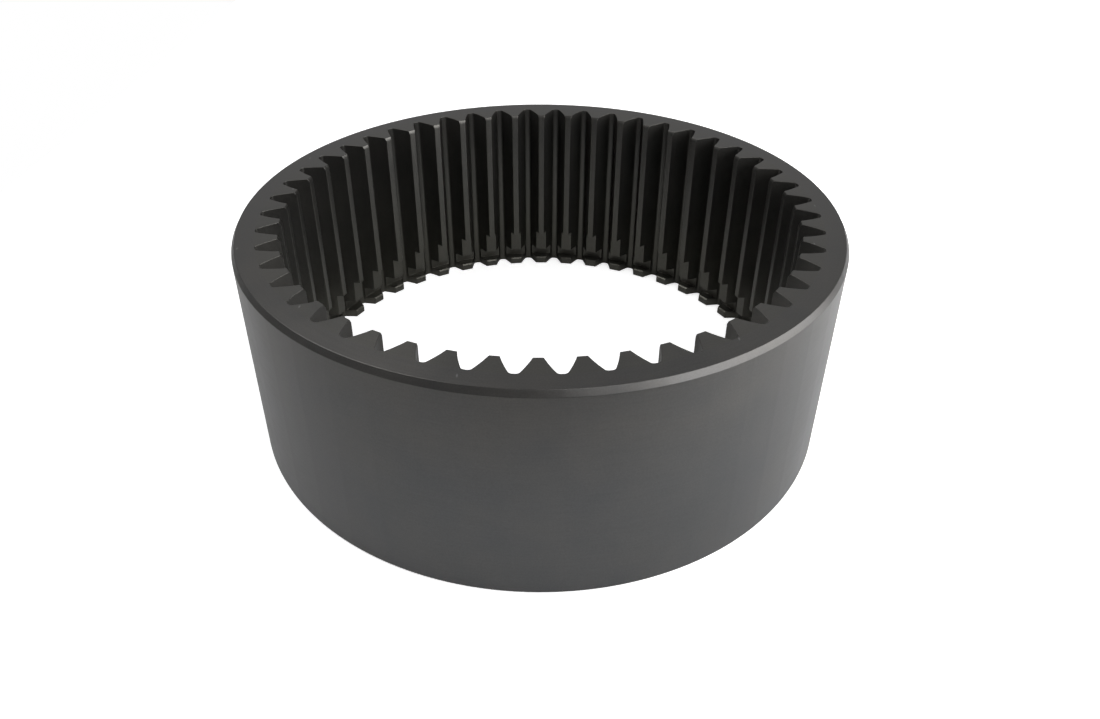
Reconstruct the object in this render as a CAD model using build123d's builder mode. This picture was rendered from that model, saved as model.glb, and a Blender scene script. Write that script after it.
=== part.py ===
"""Internal ring gear of a planetary drive, one piece of steel.

Lengths are in millimetres and angles in degrees. The origin is the centre of the bottom face,
+Z is the gear's axis, and a tooth is centred on +Y. The counterbored end is at the bottom.
"""
from build123d import *
from math import acos, cos, pi, radians, sin, tan
import os

# Teeth
module = 5.0
tooth_count = 48
pressure_angle = 22.5
profile_shift = 0.5             # in modules, outward
addendum_coefficient = 1.1      # in modules, towards the axis
dedendum_coefficient = 1.0      # in modules, into the rim
backlash = 0.2                  # added to each tooth space, along the pitch circle
root_fillet = 1.5

# Rim
height = 100.0
rim_thickness = 10.0            # from the roots of the teeth to the outer wall
lead_in_radial = 1.5            # chamfer that leads the ring into its housing, on the top outer edge
lead_in_axial = 2.5
bottom_outer_chamfer = 1.0

# Turned bevel on the upper ends of the teeth
tooth_bevel_radial = 1.0
tooth_bevel_axial = 2.0

# Counterbore and retaining-ring groove, turned through the lower ends of the teeth
lip_height = 4.5                # solid lip between the bottom face and the groove
groove_width = 6.0
groove_depth = 5.5              # below the counterbore
lip_bevel = 0.7                 # on both inner edges of the lip
seat_height = 12.5              # counterbored length above the groove
counterbore_step = 3.5          # taken off the tips of the teeth

# Sizes that follow
pitch_radius = module * tooth_count / 2
base_radius = pitch_radius * cos(radians(pressure_angle))
tip_radius = pitch_radius - (addendum_coefficient - profile_shift) * module
root_radius = pitch_radius + (dedendum_coefficient + profile_shift) * module
outer_radius = root_radius + rim_thickness
nominal_space = (pi / 2 + 2 * profile_shift * tan(radians(pressure_angle))) * module
space_width = nominal_space + backlash
counterbore_radius = tip_radius + counterbore_step
groove_radius = counterbore_radius + groove_depth
groove_top = lip_height + groove_width
counterbore_top = groove_top + seat_height
cutter_reach = module / 2       # the cutter's profile starts this far inside the tips


def involute(angle):
    """Involute function of an angle in radians."""
    return tan(angle) - angle


def half_space_angle(radius):
    """Half of the angle that one tooth space spans at a radius, in radians."""
    local_angle = acos(base_radius / radius)
    opening = involute(radians(pressure_angle)) - involute(local_angle)
    return space_width / 2 / pitch_radius + opening


def flank_point(radius):
    """The point at a radius on the involute flank that lies above +X."""
    angle = half_space_angle(radius)
    return (radius * cos(angle), radius * sin(angle))


def blank_section():
    """Half section of the turned blank, as (radius, height) points round the outline."""
    return [
        (counterbore_radius + lip_bevel, 0),
        (counterbore_radius, lip_bevel),
        (counterbore_radius, lip_height - lip_bevel),
        (counterbore_radius + lip_bevel, lip_height),
        (groove_radius, lip_height),
        (groove_radius, groove_top),
        (counterbore_radius, groove_top),
        (counterbore_radius, counterbore_top),
        (tip_radius, counterbore_top),
        (tip_radius, height - tooth_bevel_axial),
        (tip_radius + tooth_bevel_radial, height),
        (outer_radius - lead_in_radial, height),
        (outer_radius, height - lead_in_axial),
        (outer_radius, bottom_outer_chamfer),
        (outer_radius - bottom_outer_chamfer, 0),
    ]


# One tooth space, centred on +X and open towards the axis. Over the height of a tooth, an arc through
# three points of the involute follows it to within about a hundredth of a millimetre.
flank_start = max(tip_radius, base_radius)
flank_middle = (flank_start + root_radius) / 2
with BuildSketch() as tooth_space:
    with BuildLine():
        flank = ThreePointArc(flank_point(flank_start), flank_point(flank_middle), flank_point(root_radius))
        mirror(flank, about=Plane.XZ)
        tip_corner = flank @ 0
        root_corner = flank @ 1
        ThreePointArc(root_corner, (root_radius, 0), (root_corner.X, -root_corner.Y))
        mouth = tip_radius - cutter_reach
        Polyline(tip_corner, (mouth, tip_corner.Y), (mouth, -tip_corner.Y), (tip_corner.X, -tip_corner.Y))
    make_face()
    root_corners = tooth_space.vertices().sort_by(Axis.X)[-2:]
    fillet(root_corners, root_fillet)

# The ring gear: a turned blank with the tooth spaces cut through it
with BuildPart() as ring_gear:
    with BuildSketch(Plane.XZ):
        with BuildLine():
            Polyline(*blank_section(), close=True)
        make_face()
    revolve(axis=Axis.Z)
    with BuildSketch():
        with PolarLocations(0, tooth_count, start_angle=90 + 180 / tooth_count):
            add(tooth_space.sketch)
    extrude(amount=height, mode=Mode.SUBTRACT)

ring_gear.part.label = "ring_gear"
os.makedirs("parts", exist_ok=True)
export_step(ring_gear.part, "parts/ring_gear.step")

print("tip, root and outer diameter", 2 * tip_radius, 2 * root_radius, 2 * outer_radius)
print("volume in cubic metres", ring_gear.part.volume * 1e-9)
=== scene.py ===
"""Blender scene for the internal ring gear: its finished mesh, black-oxide steel, a studio and a camera.

The gear is built here again with smooth involute flanks and lightly broken edges, in place of the
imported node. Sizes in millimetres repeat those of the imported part; Blender's own units are metres.
"""
from math import acos, atan2, ceil, cos, hypot, pi, radians, sin, sqrt, tan

import bmesh
import bpy
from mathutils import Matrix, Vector


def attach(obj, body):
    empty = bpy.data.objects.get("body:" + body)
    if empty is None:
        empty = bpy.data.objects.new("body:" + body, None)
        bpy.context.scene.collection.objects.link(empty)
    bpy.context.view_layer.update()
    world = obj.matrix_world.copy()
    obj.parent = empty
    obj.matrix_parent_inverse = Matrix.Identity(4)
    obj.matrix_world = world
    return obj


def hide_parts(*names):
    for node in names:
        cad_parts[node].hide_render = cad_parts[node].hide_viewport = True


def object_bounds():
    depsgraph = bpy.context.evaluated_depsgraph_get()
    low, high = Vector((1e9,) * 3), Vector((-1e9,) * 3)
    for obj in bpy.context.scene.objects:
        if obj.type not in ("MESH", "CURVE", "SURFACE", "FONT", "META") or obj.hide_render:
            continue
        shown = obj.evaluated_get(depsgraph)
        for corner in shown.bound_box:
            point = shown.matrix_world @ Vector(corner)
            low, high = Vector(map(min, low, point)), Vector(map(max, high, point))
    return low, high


MM = 0.001

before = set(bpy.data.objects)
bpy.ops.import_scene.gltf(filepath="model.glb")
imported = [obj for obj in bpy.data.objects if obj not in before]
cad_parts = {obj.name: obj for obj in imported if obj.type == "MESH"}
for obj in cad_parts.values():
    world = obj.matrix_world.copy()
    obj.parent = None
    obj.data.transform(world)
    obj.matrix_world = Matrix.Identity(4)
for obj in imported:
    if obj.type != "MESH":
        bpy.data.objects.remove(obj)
cad_low, cad_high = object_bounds()

# ------------------------------------------------------- sizes of the gear, in millimetres

module = 5.0
tooth_count = 48
pressure_angle = radians(22.5)
profile_shift = 0.5
addendum_coefficient = 1.1
dedendum_coefficient = 1.0
backlash = 0.2
root_fillet = 1.5

tooth_bevel_radial = 1.0
tooth_bevel_axial = 2.0
lip_height = 4.5
lip_bevel = 0.7
groove_width = 6.0
groove_depth = 5.5
seat_height = 12.5
counterbore_step = 3.5
lead_in_radial = 1.5
lead_in_axial = 2.5
bottom_outer_chamfer = 1.0

height = (cad_high.z - cad_low.z) / MM
outer_radius = min(cad_high.x, cad_high.y) / MM     # the solid's facets reach a little less far along Y
pitch_radius = module * tooth_count / 2
base_radius = pitch_radius * cos(pressure_angle)
tip_radius = pitch_radius - (addendum_coefficient - profile_shift) * module
root_radius = pitch_radius + (dedendum_coefficient + profile_shift) * module
space_width = (pi / 2 + 2 * profile_shift * tan(pressure_angle)) * module + backlash
half_pitch = pi / tooth_count
bevel_radius = tip_radius + tooth_bevel_radial
seat_radius = tip_radius + counterbore_step
lip_radius = seat_radius + lip_bevel
groove_radius = seat_radius + groove_depth
groove_top = lip_height + groove_width
seat_top = groove_top + seat_height

# How fine the mesh is
edge_break = 0.2                # rounding of every sharp edge
station_spacing = 1.3           # between the lines that run along a flank
fillet_steps = 5                # round the fillet at a tooth's root
tooth_steps = 4                 # across a tooth
land_steps = 2                  # across the floor of a tooth space
TOLERANCE = 1e-6                # millimetres by which equal radii may differ

# Finish
# Cool and warm oxide: besides the random clouds, these paint a reflection, cool low on the gear and warm
# near its top
COOL_OXIDE_AND_LOW_REFLECTION = (0.077, 0.079, 0.082, 1)
WARM_OXIDE_AND_TOP_REFLECTION = (0.086, 0.082, 0.077, 1)
OLIVE_OXIDE = (0.084, 0.082, 0.071, 1)
BARE_STEEL = (0.22, 0.22, 0.22, 1)
CLOUDS_PER_METRE = 45.0
GRAINS_PER_METRE = 1500.0
CLOUD_SHADE = 0.05              # how much the clouds darken and lighten the oxide
MARK_SHADE = 0.03
GRAIN_SHADE = 0.05
NOISE_LOW = 0.3                 # the usual range of Blender's noise
NOISE_HIGH = 0.7

# Marks of machining
MARK_WIDTH = 0.0007             # metres from one to the next
TURNED_CHANGES_PER_RADIAN = 9   # along a mark that runs round the gear
SHAPED_CHANGES_PER_METRE = 22   # along a mark that runs down a tooth
UPRIGHT = 0.4                   # a face whose normal rises less than this counts as upright
FACES_AXIS = -0.93              # and one whose normal points outward less than this faces the axis
GLOSS = {                       # on the turned faces, and on those that the gear shaper cut
    "Metallic": (0.88, 0.84),
    "Specular Tint": (1.0, 0.45),
    "Anisotropic": (0.55, 0.0),
}

# Scratches on the top face, from a pattern of cells of which a few hold a scratch
NICK_CELLS_PER_METRE = 110.0
NICK_Y_FACTOR = 0.35            # shrinks Y in the pattern, so that the scratches run along Y
NICK_FREE = 0.86                # share of the cells without a scratch
NICK_CORE = 0.015               # half width of the bright core, in cells
NICK_EDGE = 0.05                # and of the whole scratch
NICK_STRENGTH = 0.6

# Studio
WHITE = (1, 1, 1, 1)
LIT_POINT = (0, 0, 0.05)        # where the lamps are aimed
BACK_WALL = (0, 0.87, 0.5)      # direction of the room's brightest part
WALL_STARTS = 0.75              # cosine of the angle from there at which the room brightens
WALL_IS_FULL = 0.95
DIM_ROOM = 0.25
BRIGHT_ROOM = 0.52
PAPER = 0.85                    # how much of the light the floor sends back
PAPER_GLOW = 0.66               # what the camera sees on top of that
PAPER_SIZE = 12                 # metres
PAPER_LEFT = 0.4                # metres from the gear's axis to the left edge of the paper
PAPER_FRONT = 0.28              # and to its front edge


# ------------------------------------------------------- mesh of the gear

def involute(angle):
    """Involute function of an angle."""
    return tan(angle) - angle


def half_space(radius):
    """Half of the angle that a tooth space spans at a radius."""
    opening = involute(pressure_angle) - involute(acos(base_radius / radius))
    return space_width / 2 / pitch_radius + opening


def fillet_stations():
    """(radius, half of the space's angle) at points round the fillet, from the flank to the root."""
    roll = root_fillet + sqrt((root_radius - root_fillet) ** 2 - base_radius ** 2)
    touch_radius = hypot(roll, base_radius)
    touch_angle = half_space(touch_radius)
    lean = touch_angle - acos(base_radius / touch_radius)
    centre_x = touch_radius * cos(touch_angle) + root_fillet * sin(lean)
    centre_y = touch_radius * sin(touch_angle) - root_fillet * cos(lean)
    first = lean + pi / 2
    last = atan2(centre_y, centre_x)
    stations = []
    for step in range(fillet_steps + 1):
        turn = first + (last - first) * step / fillet_steps
        x = centre_x + root_fillet * cos(turn)
        y = centre_y + root_fillet * sin(turn)
        stations.append((hypot(x, y), atan2(y, x)))
    return stations


def flank_stations(touch_radius):
    """(radius, half of the space's angle) up the flank, with one at every turned corner."""
    corners = [tip_radius, bevel_radius, seat_radius, lip_radius, groove_radius, touch_radius]
    stations = []
    for low, high in zip(corners, corners[1:]):
        count = ceil((high - low) / station_spacing)
        radii = [low + (high - low) * step / count for step in range(count)]
        stations += [(radius, half_space(radius)) for radius in radii]
    return stations


def turned_outline():
    """The blank's inner outline from the top face to the bottom face, as (radius, height)."""
    return [
        (root_radius, height),
        (bevel_radius, height),
        (tip_radius, height - tooth_bevel_axial),
        (tip_radius, seat_top),
        (seat_radius, seat_top),
        (seat_radius, groove_top),
        (groove_radius, groove_top),
        (groove_radius, lip_height),
        (lip_radius, lip_height),
        (seat_radius, lip_height - lip_bevel),
        (seat_radius, lip_bevel),
        (lip_radius, 0),
        (root_radius, 0),
    ]


def outline_rows(stations):
    """The outline as (station, height), with a row wherever it crosses a station."""
    radii = [radius for radius, _ in stations]
    rows = []
    for (r1, z1), (r2, z2) in zip(turned_outline(), turned_outline()[1:]):
        ends = sorted((r1, r2))
        crossed = [i for i, r in enumerate(radii) if ends[0] - TOLERANCE < r < ends[1] + TOLERANCE]
        if r1 == r2:
            crossed = crossed * 2
            heights = [z1, z2]
        else:
            crossed.sort(key=lambda i: abs(radii[i] - r1))
            heights = [z1 + (z2 - z1) * (radii[i] - r1) / (r2 - r1) for i in crossed]
        for row in zip(crossed, heights):
            if not rows or rows[-1] != row:
                rows.append(row)
    return rows


class GearMesh:
    """Collects the gear's faces; corners at the same place are shared."""

    def __init__(self):
        self.bm = bmesh.new()
        self.corners = {}

    def corner(self, radius, angle, z):
        """The vertex at a radius, an angle about the gear's axis from +Y, and a height, in millimetres."""
        place = (-radius * sin(angle), radius * cos(angle), z)
        key = tuple(round(value, 5) for value in place)
        if key not in self.corners:
            self.corners[key] = self.bm.verts.new(Vector(place) * MM)
        return self.corners[key]

    def face(self, corners):
        """One face, given by its vertices in order."""
        self.bm.faces.new(corners)

    def sheet(self, rows):
        """Quads between successive rows of vertices."""
        for upper, lower in zip(rows, rows[1:]):
            for i in range(len(upper) - 1):
                self.face([upper[i], upper[i + 1], lower[i + 1], lower[i]])


def spread(first, last, steps):
    """Evenly spaced values from first to last."""
    return [first + (last - first) * step / steps for step in range(steps + 1)]


def add_tooth(mesh, centre, stations, rows):
    """What was turned on a tooth, and its two flanks down to the middle of the fillets."""
    turned = []
    for station, z in rows:
        radius, space_angle = stations[station]
        reach = half_pitch - space_angle
        angles = spread(centre - reach, centre + reach, tooth_steps)
        turned.append([mesh.corner(radius, angle, z) for angle in angles])
    mesh.sheet(turned)
    for side in (-1, 1):
        for station in range(len(stations) - 1):
            add_flank_strip(mesh, centre, side, stations, rows, station)


def add_flank_strip(mesh, centre, side, stations, rows, station):
    """The upright strips of a flank between a station and the next one."""
    spans = []
    for (i1, z1), (i2, z2) in zip(rows, rows[1:]):
        if (i1, i2) == (station, station + 1):
            spans.append((z1, z2))
        elif (i2, i1) == (station, station + 1):
            spans.append((z2, z1))
    spans.sort(key=sum)
    for (low_near, low_far), (high_near, high_far) in zip(spans[0::2], spans[1::2]):
        near = upright(mesh, centre, side, stations, rows, station, low_near, high_near)
        far = upright(mesh, centre, side, stations, rows, station + 1, low_far, high_far)
        mesh.face(near + far[::-1])


def upright(mesh, centre, side, stations, rows, station, low, high):
    """The vertices along a flank's line at a station, from a low to a high end."""
    radius, space_angle = stations[station]
    angle = centre + side * (half_pitch - space_angle)
    knots = sorted({z for i, z in rows if i == station and low <= z <= high})
    return [mesh.corner(radius, angle, z) for z in knots]


def add_outside(mesh, root_angle):
    """The floors of the tooth spaces, the two end faces outside the teeth, and the outer wall."""
    angles = []
    for tooth in range(tooth_count):
        centre = 2 * half_pitch * tooth
        reach = half_pitch - root_angle
        over_tooth = spread(centre - reach, centre + reach, tooth_steps)
        over_space = spread(centre + reach, centre + 2 * half_pitch - reach, land_steps)
        floor = [[mesh.corner(root_radius, angle, z) for angle in over_space] for z in (height, 0)]
        mesh.sheet(floor)
        angles += over_tooth[:-1] + over_space[:-1]
    angles.append(angles[0])
    rings = [
        (root_radius, height),
        (outer_radius - lead_in_radial, height),
        (outer_radius, height - lead_in_axial),
        (outer_radius, bottom_outer_chamfer),
        (outer_radius - bottom_outer_chamfer, 0),
        (root_radius, 0),
    ]
    mesh.sheet([[mesh.corner(radius, angle, z) for angle in angles] for radius, z in rings])


def build_gear():
    """The whole gear as one closed mesh with every sharp edge slightly rounded."""
    fillet = fillet_stations()
    stations = flank_stations(fillet[0][0]) + fillet
    rows = outline_rows(stations)
    mesh = GearMesh()
    for tooth in range(tooth_count):
        add_tooth(mesh, 2 * half_pitch * tooth, stations, rows)
    add_outside(mesh, fillet[-1][1])
    bmesh.ops.recalc_face_normals(mesh.bm, faces=mesh.bm.faces)
    data = bpy.data.meshes.new("ring_gear_finished")
    mesh.bm.to_mesh(data)
    mesh.bm.free()
    data.shade_smooth()
    gear = bpy.data.objects.new("ring_gear_finished", data)
    bpy.context.scene.collection.objects.link(gear)
    rounding = gear.modifiers.new("edge_break", "BEVEL")
    rounding.width = edge_break * MM
    rounding.segments = 2
    rounding.limit_method = "ANGLE"
    rounding.angle_limit = radians(30)
    rounding.use_clamp_overlap = False
    shading = gear.modifiers.new("flat_faces_stay_flat", "WEIGHTED_NORMAL")
    shading.weight = 80
    return gear


# ------------------------------------------------------- shader nodes

def add_node(tree, kind, inputs=None, **settings):
    """A shader node with its settings, and a number, colour or linked socket on each named input."""
    node = tree.nodes.new(kind)
    for name, value in settings.items():
        setattr(node, name, value)
    for name, value in (inputs or {}).items():
        if isinstance(value, bpy.types.NodeSocket):
            tree.links.new(value, node.inputs[name])
        else:
            node.inputs[name].default_value = value
    return node


def calculate(tree, operation, first, second=0.0):
    """The result of a calculation on numbers."""
    return add_node(tree, "ShaderNodeMath", {0: first, 1: second}, operation=operation).outputs[0]


def combine(tree, operation, first, second=(0.0, 0.0, 0.0)):
    """The result of a calculation on vectors; a length or a dot product is the number that it is."""
    node = add_node(tree, "ShaderNodeVectorMath", {0: first, 1: second}, operation=operation)
    return node.outputs["Value" if operation in ("LENGTH", "DOT_PRODUCT") else "Vector"]


def height_of(tree, vector):
    """The Z component of a vector."""
    return add_node(tree, "ShaderNodeSeparateXYZ", {"Vector": vector}).outputs["Z"]


def remap(tree, value, low, high, new_low, new_high):
    """A value from one range brought to another, and held there."""
    inputs = {"Value": value, "From Min": low, "From Max": high, "To Min": new_low, "To Max": new_high}
    return add_node(tree, "ShaderNodeMapRange", inputs).outputs[0]


def blend(tree, share, first, second):
    """A number between two others, by a share from 0 to 1."""
    return add_node(tree, "ShaderNodeMix", {0: share, 2: first, 3: second}, data_type="FLOAT").outputs[0]


def blend_colours(tree, share, first, second):
    """A colour between two others, by a share from 0 to 1."""
    return add_node(tree, "ShaderNodeMix", {0: share, 6: first, 7: second}, data_type="RGBA").outputs[2]


def noise(tree, vector, scale, detail):
    """Smooth random values around 0.5."""
    inputs = {"Vector": vector, "Scale": scale, "Detail": detail}
    return add_node(tree, "ShaderNodeTexNoise", inputs).outputs["Fac"]


def noise_between(tree, value, low, high):
    """A noise brought from its usual range to another."""
    return remap(tree, value, NOISE_LOW, NOISE_HIGH, low, high)


# ------------------------------------------------------- material

def turning_marks(tree, radius, level, outward):
    """Fine streaks that run round the gear, as a lathe or a grinding wheel leaves them."""
    across = calculate(tree, "MULTIPLY", calculate(tree, "ADD", radius, level), 1 / MARK_WIDTH)
    column = add_node(tree, "ShaderNodeCombineXYZ", {"Z": across}).outputs[0]
    changes = (TURNED_CHANGES_PER_RADIAN, TURNED_CHANGES_PER_RADIAN, 0)
    along = combine(tree, "MULTIPLY", outward, changes)
    return noise(tree, combine(tree, "ADD", along, column), 1.0, 2.0)


def shaping_marks(tree, place):
    """Fine streaks along the teeth, as the gear shaper leaves them."""
    changes = (1 / MARK_WIDTH, 1 / MARK_WIDTH, SHAPED_CHANGES_PER_METRE)
    return noise(tree, combine(tree, "MULTIPLY", place, changes), 1.0, 2.0)


def cut_by_shaper(tree, radius, outward, in_teeth):
    """1 on the flanks and the floors of the tooth spaces, 0 on everything that was turned."""
    normal = add_node(tree, "ShaderNodeNewGeometry").outputs["Normal"]
    slope = calculate(tree, "ABSOLUTE", height_of(tree, normal))
    upright_face = calculate(tree, "LESS_THAN", slope, UPRIGHT)
    facing = combine(tree, "DOT_PRODUCT", normal, outward)
    flank = calculate(tree, "GREATER_THAN", facing, FACES_AXIS)
    floor_of_space = calculate(tree, "GREATER_THAN", radius, (groove_radius + 0.2) * MM)
    cut = calculate(tree, "MAXIMUM", flank, floor_of_space)
    return calculate(tree, "MULTIPLY", calculate(tree, "MULTIPLY", cut, upright_face), in_teeth)


def nicks(tree, place, level):
    """A few short scratches on the top face, down to the bare steel."""
    drawn_out = combine(tree, "MULTIPLY", place, (1.0, NICK_Y_FACTOR, 1.0))
    inputs = {"Vector": drawn_out, "Scale": NICK_CELLS_PER_METRE}
    cells = add_node(tree, "ShaderNodeTexVoronoi", inputs, voronoi_dimensions="2D").outputs
    pick = add_node(tree, "ShaderNodeSeparateXYZ", {"Vector": cells["Color"]}).outputs["X"]
    rare = calculate(tree, "GREATER_THAN", pick, NICK_FREE)
    core = remap(tree, cells["Distance"], NICK_CORE, NICK_EDGE, NICK_STRENGTH, 0.0)
    on_top = calculate(tree, "GREATER_THAN", level, (height - 0.05) * MM)
    return calculate(tree, "MULTIPLY", calculate(tree, "MULTIPLY", rare, core), on_top)


def oxide_colour_and_painted_reflection(tree, place, level, in_teeth, clouds, marks):
    """Nearly black, olive low on the teeth, a little uneven; painted reflection: cool low on the gear,
    warm near its top.
    """
    top = height * MM
    # painted reflection: the oxide turns warmer towards the top of the gear and cooler below it
    rise = remap(tree, level, 0.5 * top, top, 0.0, 0.45)
    warmth = calculate(tree, "ADD", rise, noise_between(tree, clouds, 0.1, 0.45))
    tint = blend_colours(tree, warmth, COOL_OXIDE_AND_LOW_REFLECTION, WARM_OXIDE_AND_TOP_REFLECTION)
    olive = calculate(tree, "MULTIPLY", in_teeth, remap(tree, level, 0.2 * top, 0.9 * top, 1.0, 0.3))
    tint = blend_colours(tree, olive, tint, OLIVE_OXIDE)

    grain = noise(tree, place, GRAINS_PER_METRE, 1.0)
    shade = noise_between(tree, clouds, 1 - CLOUD_SHADE, 1 + CLOUD_SHADE)
    shade = calculate(tree, "ADD", shade, noise_between(tree, marks, -MARK_SHADE, MARK_SHADE))
    shade = calculate(tree, "ADD", shade, noise_between(tree, grain, -GRAIN_SHADE, GRAIN_SHADE))
    shaded = combine(tree, "MULTIPLY", tint, shade)
    return blend_colours(tree, nicks(tree, place, level), shaded, BARE_STEEL)


def black_oxide_steel():
    """Satin dark steel with faint clouds and the marks of turning and of gear shaping."""
    material = bpy.data.materials.new("black_oxide_steel")
    material.use_nodes = True
    tree = material.node_tree
    sockets = tree.nodes["Principled BSDF"].inputs

    place = add_node(tree, "ShaderNodeTexCoord").outputs["Object"]
    level = height_of(tree, place)
    flat = combine(tree, "MULTIPLY", place, (1, 1, 0))
    outward = combine(tree, "NORMALIZE", flat)
    radius = combine(tree, "LENGTH", flat)
    in_teeth = calculate(tree, "LESS_THAN", radius, (root_radius + 0.1) * MM)
    shaped = cut_by_shaper(tree, radius, outward, in_teeth)
    clouds = noise(tree, place, CLOUDS_PER_METRE, 4.0)
    marks = blend(tree, shaped, turning_marks(tree, radius, level, outward), shaping_marks(tree, place))

    roughness = noise_between(tree, clouds, 0.36, 0.39)
    roughness = calculate(tree, "ADD", roughness, calculate(tree, "MULTIPLY", shaped, -0.05))
    roughness = calculate(tree, "ADD", roughness, noise_between(tree, marks, -0.015, 0.015))
    bump = add_node(tree, "ShaderNodeBump", {"Strength": 0.05, "Distance": 0.00002, "Height": marks})
    tangent = add_node(tree, "ShaderNodeTangent", direction_type="RADIAL", axis="Z")

    # the base colour holds a painted reflection, warm near the top of the gear and cool low on it
    colour = oxide_colour_and_painted_reflection(tree, place, level, in_teeth, clouds, marks)
    tree.links.new(colour, sockets["Base Color"])
    tree.links.new(roughness, sockets["Roughness"])
    for name, (on_turned, on_shaped) in GLOSS.items():
        tree.links.new(blend(tree, shaped, on_turned, on_shaped), sockets[name])
    tree.links.new(tangent.outputs[0], sockets["Tangent"])
    tree.links.new(bump.outputs[0], sockets["Normal"])
    sockets["Anisotropic Rotation"].default_value = 0.25
    return material


# ------------------------------------------------------- studio and camera

def add_floor():
    """White paper that keeps the gear's shadow. It ends near the gear at the left and in front."""
    middle_x = PAPER_SIZE / 2 - PAPER_LEFT
    middle_y = PAPER_SIZE / 2 - PAPER_FRONT
    bpy.ops.mesh.primitive_plane_add(size=PAPER_SIZE, location=(middle_x, middle_y, cad_low.z))
    floor = bpy.context.object
    floor.name = "floor"
    material = bpy.data.materials.new("floor_white")
    material.use_nodes = True
    tree = material.node_tree
    tree.nodes.clear()
    paper = add_node(tree, "ShaderNodeBsdfDiffuse", {"Color": (PAPER, PAPER, PAPER, 1)}).outputs[0]
    glow = add_node(tree, "ShaderNodeEmission", {"Color": WHITE, "Strength": PAPER_GLOW}).outputs[0]
    both = add_node(tree, "ShaderNodeAddShader", {0: paper, 1: glow}).outputs[0]
    seen = by_camera(tree, paper, both)
    add_node(tree, "ShaderNodeOutputMaterial", {"Surface": seen})
    floor.data.materials.append(material)


def by_camera(tree, elsewhere, shown):
    """One shader for what the camera sees, and another for the light that falls on the gear."""
    camera_ray = add_node(tree, "ShaderNodeLightPath").outputs["Is Camera Ray"]
    return add_node(tree, "ShaderNodeMixShader", {0: camera_ray, 1: elsewhere, 2: shown}).outputs[0]


def set_world():
    """A grey room with a brighter back wall, and white where the camera looks past the floor."""
    world = bpy.data.worlds.new("studio")
    bpy.context.scene.world = world
    world.use_nodes = True
    tree = world.node_tree
    tree.nodes.clear()
    direction = add_node(tree, "ShaderNodeTexCoord").outputs["Generated"]
    nearness = combine(tree, "DOT_PRODUCT", direction, BACK_WALL)
    brightness = remap(tree, nearness, WALL_STARTS, WALL_IS_FULL, DIM_ROOM, BRIGHT_ROOM)
    room = add_node(tree, "ShaderNodeBackground", {"Color": WHITE, "Strength": brightness}).outputs[0]
    backdrop = add_node(tree, "ShaderNodeBackground", {"Color": WHITE, "Strength": 1.0}).outputs[0]
    add_node(tree, "ShaderNodeOutputWorld", {"Surface": by_camera(tree, room, backdrop)})


def add_softbox(name, place, width, depth, radiance):
    """A rectangular lamp that faces the gear and shows the given brightness in a mirror."""
    lamp = bpy.data.lights.new(name, "AREA")
    lamp.shape = "RECTANGLE"
    lamp.size = width
    lamp.size_y = depth
    lamp.energy = radiance * pi * width * depth
    box = bpy.data.objects.new(name, lamp)
    box.location = place
    box.rotation_euler = (Vector(LIT_POINT) - Vector(place)).to_track_quat("-Z", "Y").to_euler()
    bpy.context.scene.collection.objects.link(box)


def add_camera():
    """A wide-angle camera close in front of the gear, looking down at it."""
    camera = bpy.data.objects.new("camera", bpy.data.cameras.new("camera"))
    camera.location = (0.0018, -0.3638, 0.2800)
    looks_down = 32.21          # degrees below the horizon
    camera.rotation_euler = (radians(90 - looks_down), radians(-0.08), radians(0.33))
    camera.data.sensor_width = 36
    camera.data.lens = 28.57
    camera.data.shift_x = 0.0089
    camera.data.shift_y = -0.0575
    camera.data.clip_start = 0.01
    bpy.context.scene.collection.objects.link(camera)
    bpy.context.scene.camera = camera


gear = build_gear()
gear.data.materials.append(black_oxide_steel())
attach(gear, "root")
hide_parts("ring_gear")

add_floor()
set_world()
add_softbox("softbox_left", (-0.60, 0.15, 0.95), width=0.6, depth=0.6, radiance=4.2)
add_softbox("softbox_high", (0.35, -0.5, 1.0), width=0.7, depth=0.3, radiance=4.6)
add_softbox("softbox_right", (0.79, -0.26, 0.39), width=1.1, depth=0.66, radiance=4.9)
add_softbox("softbox_front", (0.38, -0.80, 0.48), width=0.45, depth=0.4, radiance=1.8)
add_camera()

bpy.context.scene.view_settings.view_transform = "Standard"
